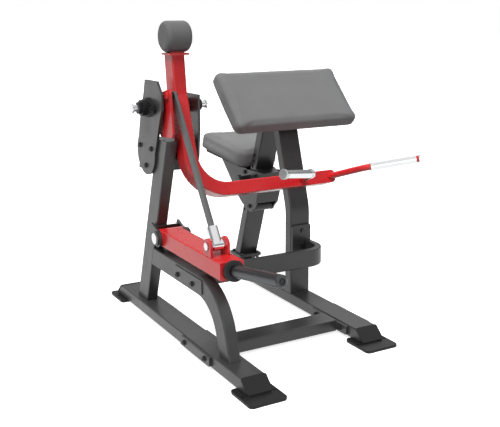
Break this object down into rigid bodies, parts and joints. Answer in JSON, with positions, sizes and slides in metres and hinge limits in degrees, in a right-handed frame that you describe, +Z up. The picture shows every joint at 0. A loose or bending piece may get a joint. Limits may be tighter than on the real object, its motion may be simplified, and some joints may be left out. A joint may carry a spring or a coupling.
{
  "type": "plate-loaded seated arm curl machine",
  "caption": "Plate-loaded seated arm curl machine with a sloping arm pad, a counterweighted red swing arm and a rod-linked weight lever.",
  "frame": {"origin": "on the floor at the middle of the machine's overall footprint", "axes": "+Z up, +Y towards the seat end, -Y towards the weight horn, +X from the weight side towards the arm pad"},
  "size_m": [1.0881, 1.6048, 1.2895],
  "materials": {
    "charcoal_paint": "satin powder coat",
    "black_paint": "satin",
    "red_paint": "gloss",
    "weight_paint": "fine textured coat",
    "rubber": "matt",
    "black_plastic": "matt",
    "board": "painted black",
    "pad_cover": "fine grained vinyl",
    "chrome": "polished",
    "rod_paint": "satin powder coat",
    "black_bolt": "satin",
    "horn_steel": "satin"
  },
  "bodies": {
    "frame": {"left_rail": "charcoal_paint", "right_rail": "charcoal_paint", "rail_end_plates": "black_paint", "foot_plates": "black_paint", "foot_rubbers": "rubber", "cross_tube": "charcoal_paint", "rail_backing_plates": "charcoal_paint", "load_post": "charcoal_paint", "side_tube": "charcoal_paint", "front_arch": "charcoal_paint", "splice_blocks": "charcoal_paint", "lower_bracket": "charcoal_paint", "lower_shaft": "chrome", "left_head_plate": "charcoal_paint", "right_head_plate": "charcoal_paint", "head_box": "charcoal_paint", "arm_stop": "rubber", "bearing_housings": "black_paint", "upright": "charcoal_paint", "rear_leg": "charcoal_paint", "leg_foot": "charcoal_paint", "pad_bracket": "charcoal_paint", "pad_board": "board", "arm_pad": "pad_cover", "cross_brace": "charcoal_paint", "brace_flanges": "charcoal_paint", "frame_bolts": "black_bolt"},
    "movement_arm": {"arm_top_tube": "red_paint", "arm_tube": "red_paint", "arm_hub": "red_paint", "crank_plate": "red_paint", "crank_pin_head": "red_paint", "balance_plate": "red_paint", "balance_weight": "weight_paint", "handle_socket": "red_paint", "handle_tube": "red_paint", "left_grip": "chrome", "right_grip": "chrome", "grip_caps": "chrome", "pivot_shaft": "chrome", "shaft_collars": "black_paint"},
    "weight_lever": {"lever_tube": "red_paint", "lever_bush": "red_paint", "rod_clevis": "red_paint", "clevis_pin": "chrome", "horn_collar": "rubber", "weight_horn": "horn_steel", "horn_plug": "black_plastic"},
    "connecting_rod": {"rod": "rod_paint", "rod_lower_end": "chrome", "rod_upper_pin": "black_paint"},
    "seat": {"seat_carriage": "charcoal_paint", "guide_shoes": "black_plastic", "seat_board": "board", "seat_pad": "pad_cover", "carriage_bolts": "black_bolt", "pin_housing": "black_paint"},
    "spring_pin": {"pull_pin": "black_plastic"}
  },
  "joints": [
    {"name": "arm_curl", "type": "hinge", "parent": "frame", "child": "movement_arm", "pos_m": [-0.375, 0.166, 0.942], "axis": [-1, 0, 0], "range_deg": [0, 90]},
    {"name": "lever_lift", "type": "hinge", "parent": "frame", "child": "weight_lever", "pos_m": [-0.41, 0.112, 0.396], "axis": [-1, 0, 0], "range_deg": [0, 28.1]},
    {"name": "rod_swing", "type": "hinge", "parent": "weight_lever", "child": "connecting_rod", "pos_m": [-0.419, -0.34, 0.47], "axis": [1, 0, 0], "range_deg": [0, 13.3]},
    {"name": "seat_height", "type": "slide", "parent": "frame", "child": "seat", "axis": [0, -0.342, 0.9397], "range_m": [-0.12, 0.06]},
    {"name": "pin_pull", "type": "slide", "parent": "seat", "child": "spring_pin", "axis": [-1, 0, 0], "range_m": [0, 0.018], "stiffness_N_per_m": 800, "springref_m": -0.004}
  ],
  "couplings": [
    {"joint": "lever_lift", "follows": "arm_curl", "ratio": 0.31176},
    {"joint": "rod_swing", "follows": "arm_curl", "ratio": 0.14677}
  ]
}
